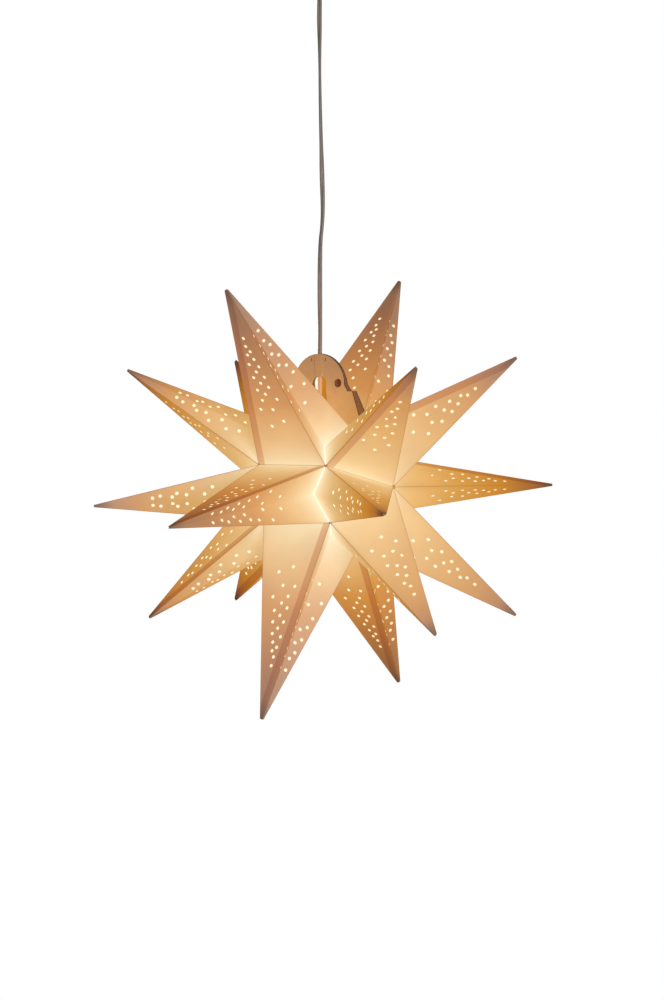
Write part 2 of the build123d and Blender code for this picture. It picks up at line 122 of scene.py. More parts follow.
# %% Section of the flex
FLEX_WIDTH = 5.7 * MM
FLEX_THICK = 3.3 * MM
ROUND_HANDLE = 0.5523  # of the radius, which makes a quarter of a circle
WAIST = 0.86


def twin_section(width, thick, name):
    """Outline of a flat twin flex: two round cores under one sheath, with a waist between them."""
    curve = bpy.data.curves.new(name, "CURVE")
    curve.dimensions = "2D"
    spline = curve.splines.new("BEZIER")
    half, radius = width / 2, thick / 2
    core = half - radius
    reach, waist = radius * ROUND_HANDLE, radius * WAIST
    shaded_corners = [
        ((-core, radius), (-core - reach, radius), (-core + reach, radius)),
        ((0, waist), (-core / 2, waist), (core / 2, waist)),
        ((core, radius), (core - reach, radius), (core + reach, radius)),
        ((half, 0), (half, reach), (half, -reach)),
        ((core, -radius), (core + reach, -radius), (core - reach, -radius)),
        ((0, -waist), (core / 2, -waist), (-core / 2, -waist)),
        ((-core, -radius), (-core + reach, -radius), (-core - reach, -radius)),
        ((-half, 0), (-half, -reach), (-half, reach)),
    ]
    spline.bezier_points.add(len(shaded_corners) - 1)
    for point, (place, before, after) in zip(spline.bezier_points, shaded_corners):
        point.handle_left_type = point.handle_right_type = "FREE"
        point.co = (*place, 0)
        point.handle_left = (*before, 0)
        point.handle_right = (*after, 0)
    spline.use_cyclic_u = True
    spline.resolution_u = 5
    section = bpy.data.objects.new(name, curve)
    bpy.context.collection.objects.link(section)
    section.hide_render = True
    return section


section = twin_section(2, 2 * FLEX_THICK / FLEX_WIDTH, "flex_section")
print("section of", round(FLEX_WIDTH / MM, 2), "by", round(FLEX_THICK / MM, 2), "mm")

# %% [markdown]
# The line of the flex is a list of places on its way down. A NURBS curve passes smoothly near
# them, and the second and third number of each place give the bow and the twist.

# %% Flat twin flex
# height below the ceiling and bow to the right, in mm, and turn of the wide face about the flex, in
# degrees. Below 500 mm it lies flat between the card plates.
FLEX_RUN = [
    (31.5, 0, 0), (50, 0, 0), (72, 0, 0), (88, -0.3, -20), (102, -0.4, -32), (120, -0.2, 5),
    (141, 0, 43), (180, 0.2, 60), (225, 1.1, 72), (255, 1.9, 84), (271, 2.3, 112), (288, 2.7, 145),
    (322, 3.8, 189), (345, 2.9, 208), (362, 0.8, 200), (390, 0.1, 172), (430, 0, 145),
    (457, 0.3, 189), (475, 0.5, 196), (500, 0, 180), (520, 0, 180), (555, 0, 180), (598, 0, 180)]
flex_curve = bpy.data.curves.new("flex_line", "CURVE")
flex_curve.dimensions = "3D"
line = flex_curve.splines.new("NURBS")
line.points.add(len(FLEX_RUN) - 1)
for point, (drop, bow, twist) in zip(line.points, FLEX_RUN):
    point.co = (*(to_right * bow * MM).xy, -drop * MM, 1)
    point.tilt = radians(twist)
    point.radius = FLEX_WIDTH / 2
line.order_u = 3
line.use_endpoint_u = True
line.resolution_u = 10
flex_curve.bevel_mode = "OBJECT"
flex_curve.bevel_object = section
flex_curve.use_fill_caps = True
flex = bpy.data.objects.new("flex_line", flex_curve)
bpy.context.collection.objects.link(flex)
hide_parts("flex")
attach(flex, "pendant")

# %% [markdown]
# Materials are node graphs. Written out link by link they are hard to read, so a small class wraps
# a socket, and plain arithmetic on it adds the nodes.

# %% Shader sockets that take part in sums
class Flow:
    """A number that changes over a surface."""

    def __init__(self, finish, socket):
        self.finish, self.socket = finish, socket

    def sum_with(self, operation, first, second):
        return self.finish.node("ShaderNodeMath", {"operation": operation}, {0: first, 1: second})

    def __add__(self, other):
        return self.sum_with("ADD", self, other)

    def __sub__(self, other):
        return self.sum_with("SUBTRACT", self, other)

    def __rsub__(self, other):
        return self.sum_with("SUBTRACT", other, self)

    def __mul__(self, other):
        return self.sum_with("MULTIPLY", self, other)

    def __truediv__(self, other):
        return self.sum_with("DIVIDE", self, other)

    __radd__ = __add__
    __rmul__ = __mul__

    def fades(self, reach):
        """1 at nothing, falling off over this reach."""
        return self.sum_with("EXPONENT", self * (-1 / reach), 0.0)

    def least(self, other):
        return self.sum_with("MINIMUM", self, other)

    def size(self):
        """The number without its sign."""
        return self.finish.node("ShaderNodeMath", {"operation": "ABSOLUTE"}, {0: self})

    def rises(self, low, high):
        """0 below low, 1 above high, and smooth between."""
        return self.finish.node(
            "ShaderNodeMapRange", {"interpolation_type": "SMOOTHSTEP"},
            {0: self, 1: low, 2: high, 3: 0, 4: 1})


def least_of(flows):
    """The smallest of several numbers."""
    return reduce(Flow.least, flows)


print("a Flow adds Math nodes as it takes part in sums")

# %% [markdown]
# Every other node comes from one method, which sets the node's settings first and its sockets
# after that. The other methods name the few nodes that most finishes here have in common.

# %% Finishes
class Finish:
    """A material with one Principled shader."""

    def __init__(self, name, **fixed):
        self.material = bpy.data.materials.new(name)
        self.material.use_nodes = True
        self.tree = self.material.node_tree
        self.shader = self.tree.nodes["Principled BSDF"]
        for socket, value in fixed.items():
            self.shader.inputs[socket.replace("_", " ")].default_value = value

    def node(self, kind, settings, values, out=0):
        made = self.tree.nodes.new(kind)
        for setting, value in settings.items():
            if setting == "stops":
                ramp = made.color_ramp.elements
                while len(ramp) < len(value):
                    ramp.new(1)
                for stop, (place, colour) in zip(ramp, value):
                    stop.position = place
                    stop.color = (*colour, 1)
            else:
                setattr(made, setting, value)
        for key, value in values.items():
            if isinstance(value, Flow):
                self.tree.links.new(value.socket, made.inputs[key])
            else:
                made.inputs[key].default_value = value
        return Flow(self, made.outputs[out])

    def feed(self, socket, flow):
        self.tree.links.new(flow.socket, self.shader.inputs[socket])

    def place(self):
        return self.node("ShaderNodeTexCoord", {}, {}, "Object")

    def facing(self):
        """The surface's direction in its own object, which turns with the object."""
        return self.node("ShaderNodeTexCoord", {}, {}, "Normal")

    def vector(self, operation, first, second=None, out=0):
        values = {0: first} if second is None else {0: first, 1: second}
        return self.node("ShaderNodeVectorMath", {"operation": operation}, values, out)

    def along(self, first, second):
        """How far one vector reaches along another."""
        return self.vector("DOT_PRODUCT", first, second, "Value")

    def off_point(self, place, where):
        """Distance from a point."""
        return self.vector("LENGTH", self.vector("SUBTRACT", place, where), out="Value")

    def off_line(self, place, start, end):
        """Distance from the endless line through two points."""
        away = self.vector("SUBTRACT", place, start)
        crossed = self.vector("CROSS_PRODUCT", away, (end - start).normalized())
        return self.vector("LENGTH", crossed, out="Value")

    def mix(self, share, first, second, blend="MIX"):
        """Goes from the first colour to the second as the share goes from 0 to 1."""
        first, second = [(*c, 1) if isinstance(c, tuple) else c for c in (first, second)]
        return self.node(
            "ShaderNodeMix", {"data_type": "RGBA", "blend_type": blend},
            {0: share, 6: first, 7: second}, 2)

    def tinted(self, colour, tint):
        return self.mix(1.0, colour, tint, "MULTIPLY")

    def ramp(self, flow, stops):
        return self.node("ShaderNodeValToRGB", {"stops": stops}, {0: flow})

    def noise(self, place, scale, detail=3.0, rough=0.5):
        return self.node(
            "ShaderNodeTexNoise", {},
            {"Vector": place, "Scale": scale, "Detail": detail, "Roughness": rough})

    def bump(self, height, strength, distance):
        self.feed("Normal", self.node(
            "ShaderNodeBump", {}, {"Height": height, "Strength": strength, "Distance": distance}))


def dimmer(colour, share):
    return tuple(share * c for c in colour)


def wear(finish, *names):
    """Gives CAD nodes this finish in all their slots."""
    for name in names:
        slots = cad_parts[name].data.materials
        if not slots:
            slots.append(finish.material)
        for i in range(len(slots)):
            slots[i] = finish.material


print("finishes can be made")

# %% [markdown]
# The shade is made of six folded segments, each with a long point in the middle and a shorter one
# at each side. To colour a point, its finish has to know where its tip is and which of its folds
# is glued. These come from the same sizes as the CAD model, turned with the same matrix.

# %% One segment of the star
CENTRE_TIP = 297 * MM
SIDE_TIP = (209 * MM, 181 * MM)
TIP_BLUNT = 9 * MM
crease_y = CREASE_RADIUS * sin(radians(HALF_ANGLE))
crease_z = CREASE_RADIUS * cos(radians(HALF_ANGLE))
corner = {
    "a": Vector((-CREASE_HALF, crease_y, crease_z)),
    "b": Vector((CREASE_HALF, crease_y, crease_z)),
    "c": Vector((CREASE_HALF, -crease_y, crease_z)),
    "e": Vector((-CREASE_HALF, -crease_y, crease_z)),
    "pole": Vector((POLE_HALF, 0, 0)),
    "valley": Vector((VALLEY_X, 0, crease_z)),
    "valley_far": Vector((-VALLEY_X, 0, crease_z))}
side_blunt = Vector((SIDE_TIP[0], 0, SIDE_TIP[1]))
side_base = (corner["b"] + corner["valley"] + corner["c"] + corner["pole"]) / 4
centre_apex = Vector((0, 0, CENTRE_TIP + TIP_BLUNT))
side_apex = side_blunt + (side_blunt - side_base).normalized() * TIP_BLUNT
print("tips", [round(x, 4) for x in centre_apex], [round(x, 4) for x in side_apex])

# %% [markdown]
# All six segments are this one fold, turned about the star's level axis. The first one's centre
# point was glued the other way round, so that one is given a half turn.

# %% Where each point stands
SEGMENTS = [
    "front_upper", "front_middle", "front_lower", "back_lower", "back_middle", "back_upper"]
FIRST_ANGLE = 90 - seam_angle - HALF_ANGLE
along = Vector((1, 0, 0))
half_turn = Matrix.Rotation(pi, 4, "Z")
folded_points = {}
for number, segment in enumerate(SEGMENTS):
    angle = radians(FIRST_ANGLE - 2 * HALF_ANGLE * number)
    out = Vector((0, -cos(angle), sin(angle)))
    stand = hang @ Matrix((along, out.cross(along), out)).transposed().to_4x4()
    glued = stand @ half_turn if number == 0 else stand
    for side, matrix, apex, ridges, lap in [
        ("centre", glued, centre_apex, ["a", "b", "c", "e"], ("b", "a")),
        ("right", stand, side_apex, ["b", "c", "pole"], ("c", "pole")),
        ("left", stand @ half_turn, side_apex, ["b", "c", "pole"], ("c", "pole")),
    ]:
        folded_points[f"point_{segment}_{side}"] = {
            "tip": matrix @ apex, "corner": {k: matrix @ corner[k] for k in corner},
            "ridges": ridges, "lap": lap, "side": matrix.to_3x3() @ along}
print(len(folded_points), "folded points")

# %% [markdown]
# On real folded paper every fold shows. The glued ridge has a second layer of paper, the ridges
# and creases carry thin dark lines of painted shade, light leaks out of the seams between the
# points, and a small dark spot of painted shade marks each corner where the folds meet. Each of
# these marks is a distance from a line or a corner that the finish knows. Every pair of lengths
# says where such a mark begins to fade and where it has gone.

# %% Marks on folded paper
LAP_DEPTH = (0.5 * MM, 0.8 * MM)
LAP_EDGE = (8.8 * MM, 9.8 * MM)
FOLD_EDGE = (0.3 * MM, 0.9 * MM)
CREASE_EDGE = (0.3 * MM, 1.1 * MM)
LEAK_EDGE = (0.5 * MM, 1.8 * MM)
CORNER_SHADE_EDGE = (1.2 * MM, 2.6 * MM)
TIP_SHADE_REACH = (8 * MM, 36 * MM)


def glued_lap(paper, place, facts):
    """1 on the second layer of paper along the glued ridge."""
    corners, tip = facts["corner"], facts["tip"]
    ridge, other = (corners[k] for k in facts["lap"])
    wall = (tip - ridge).normalized().cross(other - ridge).normalized()
    off_wall = paper.along(paper.vector("SUBTRACT", place, ridge), wall).size()
    return (1 - off_wall.rises(*LAP_DEPTH)) * (
        1 - paper.off_line(place, ridge, tip).rises(*LAP_EDGE))


def fold_marks(paper, place, normal, facts):
    """Distances from ridges, lit seams and creases, a mask of the gussets and one of the corners'
    painted shade.
    """
    corners, tip = facts["corner"], facts["tip"]

    def off_lines(*pairs):
        return least_of(
            [paper.off_line(place, corners[first], corners[last]) for first, last in pairs])

    ridges = least_of([paper.off_line(place, corners[k], tip) for k in facts["ridges"]])
    gusset = paper.along(normal, facts["side"])
    if "pole" in facts["ridges"]:
        gusset = 1 - gusset.rises(-0.3, -0.1)
        leak = off_lines(("b", "valley"), ("c", "valley"))
        crease = off_lines(("b", "pole"), ("c", "pole"))
        shaded_corners = "bc"
    else:
        gusset = (gusset * gusset).rises(0.3, 0.5)
        leak = off_lines(
            ("b", "valley"), ("c", "valley"), ("a", "valley_far"), ("e", "valley_far"))
        crease = off_lines(("a", "b"), ("c", "e"))
        shaded_corners = "bace"
    knot_and_corner_shade = least_of([paper.off_point(place, corners[k]) for k in shaded_corners])
    return ridges, leak, crease, gusset, 1 - knot_and_corner_shade.rises(*CORNER_SHADE_EDGE)


print("marks of folded paper are ready")

# %% [markdown]
# Perforated star paper is a stiff off-white sheet. Lit from inside it is cream beside the lamp,
# amber half way out and brown at the tips, and wherever two layers are glued together it is
# darker. The light is written as a colour that the surface gives off and that fades with the
# distance from the lamp, because that needs no bright lamp in the scene and survives the export.
# The lists below give that colour at shares of the glow's reach, for long and for short points.

# %% Colours of lit paper
LAMP = hang @ Vector((0, -15 * MM, -12 * MM))
GLOW_REACH = 0.33
CENTRE_GLOW = [
    (0.18, (0.74, 0.52, 0.26)), (0.30, (0.68, 0.38, 0.13)), (0.45, (0.54, 0.20, 0.02)),
    (0.64, (0.36, 0.10, 0.0)), (0.80, (0.19, 0.045, 0.0)), (0.95, (0.12, 0.03, 0.005))]
SIDE_GLOW = [
    (0.18, (0.85, 0.61, 0.33)), (0.30, (0.71, 0.44, 0.17)), (0.50, (0.61, 0.29, 0.05)),
    (0.66, (0.50, 0.18, 0.0)), (0.80, (0.24, 0.055, 0.0)), (0.92, (0.10, 0.02, 0.0))]
INNER_GLOW = [
    (0.2, (0.94, 0.84, 0.62)), (0.5, (0.93, 0.81, 0.56)), (0.8, (0.88, 0.70, 0.42)),
    (1.0, (0.66, 0.44, 0.20))]
LEAK_LIGHT = (0.95, 0.92, 0.80)
LEAK_HALO = 12 * MM
LEAK_HALO_LIGHT = (0.88, 0.79, 0.55)
CREASE_HALO = 10 * MM
CREASE_HALO_LIGHT = (0.82, 0.71, 0.46)
FOLD_BAND = 2 * MM
FOLD_LIGHT = (0.46, 0.16, 0.005)
PAPER_SKIN = (0.205, 0.190, 0.160)
PAPER_FLECK = (0.170, 0.155, 0.125)
NO_LIGHT = (0.0, 0.0, 0.0)
print("lamp at", [round(x, 4) for x in LAMP])

# %% [markdown]
# A face whose normal points at the lamp is the inside of the paper, which is brighter. The marks
# are laid over the glow one after another, the widest first. The key shade of a point is painted
# light and shade on the paper's own colour: a positive value takes green and blue out of a point
# that the key lamp lights less, and a negative one adds them to a point that it lights more.

# %% Lit paper
def lit_paper(name, facts, glow, key_shade):
    paper = Finish(
        "star_paper_" + name, Roughness=0.9, Specular_IOR_Level=0.03, Emission_Strength=1.0)
    place = paper.place()
    normal = paper.facing()
    from_lamp = paper.vector("SUBTRACT", place, LAMP)
    far = paper.vector("LENGTH", from_lamp, out="Value") / GLOW_REACH
    outside = paper.along(normal, paper.vector("NORMALIZE", from_lamp)).rises(-0.02, 0.02)
    lap = glued_lap(paper, place, facts)
    ridges, leak, crease, gusset, knot_and_corner_shade = fold_marks(paper, place, normal, facts)
    panel = 1 - gusset
    # painted shade: thin dark lines along the ridges and creases
    fold_shade = (1 - ridges.rises(*FOLD_EDGE)) * 0.55 + (1 - crease.rises(*CREASE_EDGE)) * panel * 0.6
    # painted shade: the glow and the paper darken towards the tip, where several layers of paper
    # end
    wear_and_tip_shade = 1 - paper.off_point(place, facts["tip"]).rises(*TIP_SHADE_REACH)
    fibres = paper.noise(place, 900.0, 5.0, 0.65)
    clouds = paper.noise(place, 22.0, 3.0, 0.55)

    light = paper.mix(clouds.rises(0.3, 0.7) * 0.08, paper.ramp(far, glow), NO_LIGHT)
    light = paper.mix(crease.fades(CREASE_HALO) * 0.5 * panel, light, CREASE_HALO_LIGHT)
    light = paper.mix(lap, light, paper.tinted(light, (0.80, 0.62, 0.50)))
    light = paper.mix(leak.fades(LEAK_HALO) * 0.9 * gusset, light, LEAK_HALO_LIGHT)
    # painted shade: a band of deeper orange along each ridge
    light = paper.mix(ridges.fades(FOLD_BAND) * 0.35, light, FOLD_LIGHT)
    light = paper.mix(fold_shade, light, (0.22, 0.07, 0.004))
    light = paper.mix((1 - leak.rises(*LEAK_EDGE)) * gusset, light, LEAK_LIGHT)
    # painted shade: a small dark spot at each corner where the folds meet
    light = paper.mix(knot_and_corner_shade * 0.8, light, (0.20, 0.05, 0.003))
    light = paper.mix(outside, paper.ramp(far, INNER_GLOW), light)
    paper.feed("Emission Color", paper.mix(wear_and_tip_shade * 0.75, light, (0.03, 0.006, 0.0)))

    skin = paper.mix(fibres.rises(0.3, 0.7) * 0.25, PAPER_SKIN, PAPER_FLECK)
    skin = paper.tinted(skin, (1, 1 - 0.38 * key_shade, 1 - 0.85 * key_shade))
    skin = paper.mix(lap, skin, paper.tinted(skin, (0.92, 0.80, 0.78)))
    # painted shade at the tip, in the paper's own colour as well
    skin = paper.mix(wear_and_tip_shade * 0.5, skin, (0.11, 0.085, 0.07))
    # painted shade: the fold lines and corner spots darken the paper's own colour as well
    paper.feed("Base Color", paper.mix((fold_shade + knot_and_corner_shade).least(1.0), skin, (0.15, 0.08, 0.03)))
    paper.bump(fibres * 0.7 + clouds * 0.6, 0.35, 0.4 * MM)
    return paper


# painted key-lamp shade for each point, and painted key light where the value is negative
POINT_KEY_SHADE = {
    "back_middle_right": 0.7, "back_lower_centre": 0.55, "front_middle_right": 0.3,
    "front_middle_centre": 0.25, "front_upper_right": 0.15, "back_upper_centre": 0.15,
    "front_middle_left": -0.3, "front_lower_centre": -0.25}
for name, facts in folded_points.items():
    sheet = name.removeprefix("point_")
    glow = CENTRE_GLOW if name.endswith("centre") else SIDE_GLOW
    wear(lit_paper(sheet, facts, glow, POINT_KEY_SHADE.get(sheet, 0.0)), name)
print(len(folded_points), "points in lit paper")

# %% [markdown]
# The two plates that close the shade are stiff brown card. Light from the star climbs their outer
# faces, so these are orange low down and mauve at the top. The cut edges and the faces that the
# plates turn to each other get none of it and stay dark, except inside the slot for the flex.
# Places on a plate are read along the star's own leaning axes, by dotting them with those axes.

# %% Card plates
CARD_SLOT_HALF = 11.5 * MM
CARD_SLOT_TOP = 64 * MM
CHANNEL_HALF = 4.8 * MM
CARD_SKIN = (0.27, 0.185, 0.115)
CARD_SHADED = (0.165, 0.10, 0.07)
FACE_GLOW = [
    (0.0, (0.62, 0.30, 0.085)), (0.45, (0.44, 0.19, 0.045)), (0.72, (0.29, 0.12, 0.03)),
    (1.0, (0.23, 0.09, 0.025))]
SHADED_GLOW = [(0.0, (0.23, 0.09, 0.025)), (0.5, (0.12, 0.04, 0.01)), (1.0, NO_LIGHT)]
SLOT_LIGHT = (0.78, 0.42, 0.10)
seam = hang @ Vector((0, 0, seam_z))
lean = hang.to_3x3()
star_x, star_y, star_z = (lean @ Vector(axis) for axis in ((1, 0, 0), (0, 1, 0), (0, 0, 1)))


def stiff_card(name, outward):
    card = Finish(
        "stiff_card_" + name, Roughness=0.8, Specular_IOR_Level=0.08, Emission_Strength=1.0)
    place = card.place()
    from_seam = card.vector("SUBTRACT", place, seam)
    height = card.along(from_seam, star_z)
    centred = card.along(from_seam, star_x)
    centred = centred * centred
    out = card.along(card.facing(), outward)

    # masks of the outer face with the side of its channel, of the cut edges and of the slot's side
    above_slot = height.rises(CARD_SLOT_TOP, CARD_SLOT_TOP + 1 * MM)
    below_top = 1 - height.rises(CARD_TOP - 1 * MM, CARD_TOP - 0.3 * MM)
    channel = (1 - centred.rises(CHANNEL_HALF ** 2, (1.05 * CHANNEL_HALF) ** 2)) * above_slot
    face = out.rises(0.45, 0.6)
    outer = face + channel * below_top * out.rises(-0.1, 0.0) * (1 - face)
    cut = out.rises(-0.6, -0.45) - outer
    slot_side = 1 - centred.rises((0.9 * CARD_SLOT_HALF) ** 2, CARD_SLOT_HALF ** 2)
    in_slot = slot_side * (1 - height.rises(CARD_SLOT_TOP, CARD_SLOT_TOP + 2 * MM)) * cut

    grain = card.noise(card.vector("MULTIPLY", place, (1, 1, 0.25)), 2600.0, 4.0, 0.6)
    clouds = card.noise(place, 60.0, 3.0, 0.6)
    wear_and_tip_shade = card.noise(place, 240.0, 4.0, 0.7)
    climb = height / CARD_TOP
    light = card.mix(outer, card.ramp(climb, SHADED_GLOW), card.ramp(climb, FACE_GLOW))
    light = card.mix(cut, light, NO_LIGHT)
    light = card.mix(in_slot, light, SLOT_LIGHT)
    card.feed("Emission Color", card.mix(clouds.rises(0.3, 0.7) * 0.15, light, NO_LIGHT))

    # painted shade: the inner faces and cut edges are darker in the card's own colour too, and wear
    # varies the edges
    skin = card.mix(outer, CARD_SHADED, CARD_SKIN)
    edge = card.mix(wear_and_tip_shade.rises(0.35, 0.65), (0.055, 0.034, 0.026), (0.12, 0.08, 0.06))
    skin = card.mix(cut, skin, edge)
    dark = card.tinted(skin, (0.72, 0.68, 0.66))
    card.feed("Base Color", card.mix(grain.rises(0.3, 0.7) * 0.25, skin, dark))
    card.bump(grain * 0.6 + wear_and_tip_shade * 0.4, 0.3, 0.3 * MM)
    return card


wear(stiff_card("front", -star_y), "card_front")
wear(stiff_card("back", star_y), "card_back")
print("card plates, seam at", [round(x, 4) for x in seam])

# %% [markdown]
# The hinge tape is woven cotton, stuck inside the lower crease. Two waves at right angles make the
# weave: their crests stand up as threads, and the gaps between them carry painted shade. The tape
# also gives off a painted glow of the lamp's light, dimmer in the gaps.

# %% Hinge tape
THREAD = 0.7 * MM
WAVE_SCALE = 0.314 / THREAD


def woven(name, colour, lit):
    cloth = Finish(name, Roughness=0.9, Specular_IOR_Level=0.2, Emission_Strength=1.0)
    place = cloth.place()
    warp, weft = [
        cloth.node(
            "ShaderNodeTexWave", {"bands_direction": way}, {"Vector": place, "Scale": WAVE_SCALE})
        for way in "XY"]
    threads = warp * 0.5 + weft * 0.5
    crests = threads.rises(0.15, 0.8)
    fluff = cloth.noise(place, 700.0, 4.0, 0.6)
    dark = dimmer(colour, 0.55)
    skin = cloth.mix(crests, dark, colour)
    cloth.feed("Base Color", cloth.mix(fluff.rises(0.3, 0.7) * 0.2, skin, dark))
    cloth.feed("Emission Color", cloth.mix(crests, dimmer(lit, 0.6), lit))
    cloth.bump(threads + fluff * 0.3, 0.5, 0.2 * MM)
    return cloth


wear(woven("cotton_tape", (0.55, 0.50, 0.42), (0.40, 0.27, 0.10)), "hinge_tape")
print("hinge tape woven")

# %% [markdown]
# The flex has a soft taupe sheath. Drawing it over the cores leaves faint lines along it, so the
# noise is stretched upwards. Near the shade it catches some of the warm light.

# %% Flex sheath
FLEX_WARM = (-0.60, -0.36)
FLEX_TOP_SHADE = (-0.28, -0.06)
FLEX_INSIDE = (seam.z + 55 * MM, seam.z + 68 * MM)
sheath = Finish("taupe_sheath", Specular_IOR_Level=0.35, Emission_Strength=1.0)
place = sheath.place()
lines = sheath.noise(sheath.vector("MULTIPLY", place, (1, 1, 0.04)), 2200.0, 3.0, 0.6)
mottle = sheath.noise(place, 90.0, 3.0, 0.6)
grit = sheath.noise(place, 2400.0, 4.0, 0.6)
height = sheath.along(place, (0, 0, 1))
skin = sheath.mix(lines.rises(0.3, 0.7), (0.150, 0.118, 0.098), (0.195, 0.155, 0.130))
skin = sheath.mix(mottle.rises(0.35, 0.65) * 0.4, skin, (0.115, 0.095, 0.082))
# painted shade: the sheath grows darker and greyer towards the ceiling
skin = sheath.mix(height.rises(*FLEX_TOP_SHADE) * 0.55, skin, (0.085, 0.080, 0.072))
sheath.feed("Base Color", skin)
sheath.feed("Roughness", 0.42 + grit.rises(0.3, 0.7) * 0.2)
warmed = sheath.mix(1 - height.rises(*FLEX_WARM), NO_LIGHT, (0.12, 0.055, 0.015))
in_star = 1 - height.rises(*FLEX_INSIDE)
sheath.feed("Emission Color", sheath.mix(in_star, warmed, (0.52, 0.23, 0.05)))
sheath.bump(lines * 0.5 + grit * 0.5, 0.3, 0.2 * MM)
flex_curve.materials.append(sheath.material)
print("flex in", sheath.material.name)

# %% [markdown]
# The hard parts wear a few families of finish. Moulded plastic has a fine skin with a little dirt
# in it. Metal varies in gloss more than in colour, and zinc shows large flat crystals. One
# function makes each family, and the parts differ in its colours.

# %% Plastic, ceramic and metal
def moulded(name, colour, rough=0.35, grime=0.12, lit=None):
    skin = Finish(name, Specular_IOR_Level=0.5, Emission_Strength=1.0 if lit else 0.0)
    place = skin.place()
    peel = skin.noise(place, 1100.0, 2.0, 0.5)
    smears = skin.noise(place, 45.0, 4.0, 0.6)
    dirt = smears.rises(0.4, 0.75) * grime * 2
    skin.feed("Base Color", skin.mix(dirt, colour, dimmer(colour, 0.72)))
    skin.feed("Roughness", rough + smears.rises(0.3, 0.7) * 0.18)
    skin.bump(peel, 0.12, 0.2 * MM)
    if lit:
        uneven = smears.rises(0.3, 0.7) * 0.1
        skin.feed("Emission Color", skin.mix(uneven, lit, dimmer(lit, 0.8)))
    return skin


def plated(name, colour, rough=0.3, crystals=0.0):
    metal = Finish(name, Metallic=1.0)
    place = metal.place()
    scuffs = metal.noise(metal.vector("MULTIPLY", place, (1, 1, 6)), 160.0, 5.0, 0.65)
    film = metal.noise(place, 30.0, 3.0, 0.6)
    dull = dimmer(colour, 0.70)
    skin = metal.mix(film.rises(0.35, 0.7) * 0.5, colour, dull)
    gloss = rough + scuffs.rises(0.35, 0.7) * 0.22
    if crystals:
        flakes = metal.node(
            "ShaderNodeTexVoronoi", {}, {"Vector": place, "Scale": crystals}, "Color")
        shine = metal.along(flakes, (0.33, 0.33, 0.33))
        skin = metal.mix(shine.rises(0.2, 0.8) * 0.6, skin, dull)
        gloss = gloss + shine * 0.15
    metal.feed("Base Color", skin)
    metal.feed("Roughness", gloss)
    metal.bump(scuffs, 0.15, 0.1 * MM)
    return metal


print("plastic and metal are ready")

# %% [markdown]
# Each node gets the material that its part has on most lights of this kind. The parts of the lamp
# give off a little colour of their own, because no real lamp shines inside the star.

# %% What each part is made of
zinc = plated("zinc_sheet", (0.66, 0.67, 0.67), 0.34, 260.0)
brass = plated("turned_brass", (0.80, 0.58, 0.27), 0.22)
steel = plated("screw_steel", (0.58, 0.57, 0.55), 0.26)
nickel = plated("nickel_skin", (0.72, 0.68, 0.62), 0.18)
cup_white = moulded("cup_white", (0.78, 0.77, 0.74), 0.32)
block_white = moulded("block_nylon", (0.70, 0.69, 0.63), 0.45)
holder_black = moulded("holder_black", (0.022, 0.021, 0.022), 0.38, 0.3)
porcelain = moulded("porcelain", (0.80, 0.77, 0.70), 0.16, 0.08)
lamp_white = moulded("lamp_white", (0.80, 0.76, 0.68), 0.30, 0.1, (0.30, 0.22, 0.10))
wire_brown = moulded("wire_brown", (0.15, 0.055, 0.025), 0.35)
wire_blue = moulded("wire_blue", (0.03, 0.10, 0.34), 0.35)
black_glass = moulded("black_glass", (0.012, 0.011, 0.012), 0.08, 0.3)
board_white = moulded("lamp_board", (0.82, 0.80, 0.74), 0.5, 0.1, (0.95, 0.80, 0.50))
opal = moulded("opal_globe", (0.85, 0.82, 0.74), 0.25, 0.05, (1.0, 0.90, 0.66))
for finish, names in [
    (zinc, ["mounting_plate", "strap", "rivet_left", "rivet_right"]),
    (brass, ["terminal_tube_left", "terminal_tube_right", "holder_thread", "holder_contact"]),
    (steel, [
        "terminal_screw_left", "terminal_screw_right", "gland_screw", "cup_stop_screw",
        "holder_screw"]),
    (nickel, ["lamp_cap", "lamp_contact"]),
    (cup_white, ["ceiling_cup", "cup_stop", "cord_gland"]),
    (block_white, ["terminal_block"]),
    (holder_black, ["holder_cap", "holder_shell"]),
    (porcelain, ["holder_core"]),
    (lamp_white, ["lamp_housing"]),
    (wire_brown, ["ceiling_wire_left", "holder_wire_left"]),
    (wire_blue, ["ceiling_wire_right", "holder_wire_right"]),
    (black_glass, ["lamp_insulator"]),
    (board_white, ["led_board"]),
    (opal, ["lamp_globe"]),
]:
    wear(finish, *names)
print(len(bpy.data.materials), "materials")

# %% [markdown]
# Turned parts start as half an outline, spun about the axis. A ring's outline is closed. That of a
# solid piece begins and ends on the axis and stays open, and its two ends become the poles.

# %% Turned pieces
def turned(outline, closed=True, steps=64):
    """Spins an outline of (radius, height) about the vertical axis."""
    form = bmesh.new()
    points = [form.verts.new((radius, 0, height)) for radius, height in outline]
    last = len(points) if closed else len(points) - 1
    runs = [form.edges.new((points[i], points[(i + 1) % len(points)])) for i in range(last)]
    bmesh.ops.spin(
        form, geom=points + runs, cent=(0, 0, 0), axis=(0, 0, 1), angle=2 * pi, steps=steps,
        use_merge=True)
    bmesh.ops.remove_doubles(form, verts=form.verts[:], dist=1e-6)
    bmesh.ops.recalc_face_normals(form, faces=form.faces[:])
    return form


def laid_over(form, matrix):
    """Moves a whole form by a matrix, so that its object can stay at the origin."""
    bmesh.ops.transform(form, verts=form.verts[:], matrix=matrix)


print("turned pieces can be made")

# %% [markdown]
# Moulded edges are never sharp, so every hard edge gets a small bevel. Grip ribs are every second
# side face of a collar, set in. A finished form becomes a mesh with smooth faces and sharp
# corners, and rides on the body that carries it.

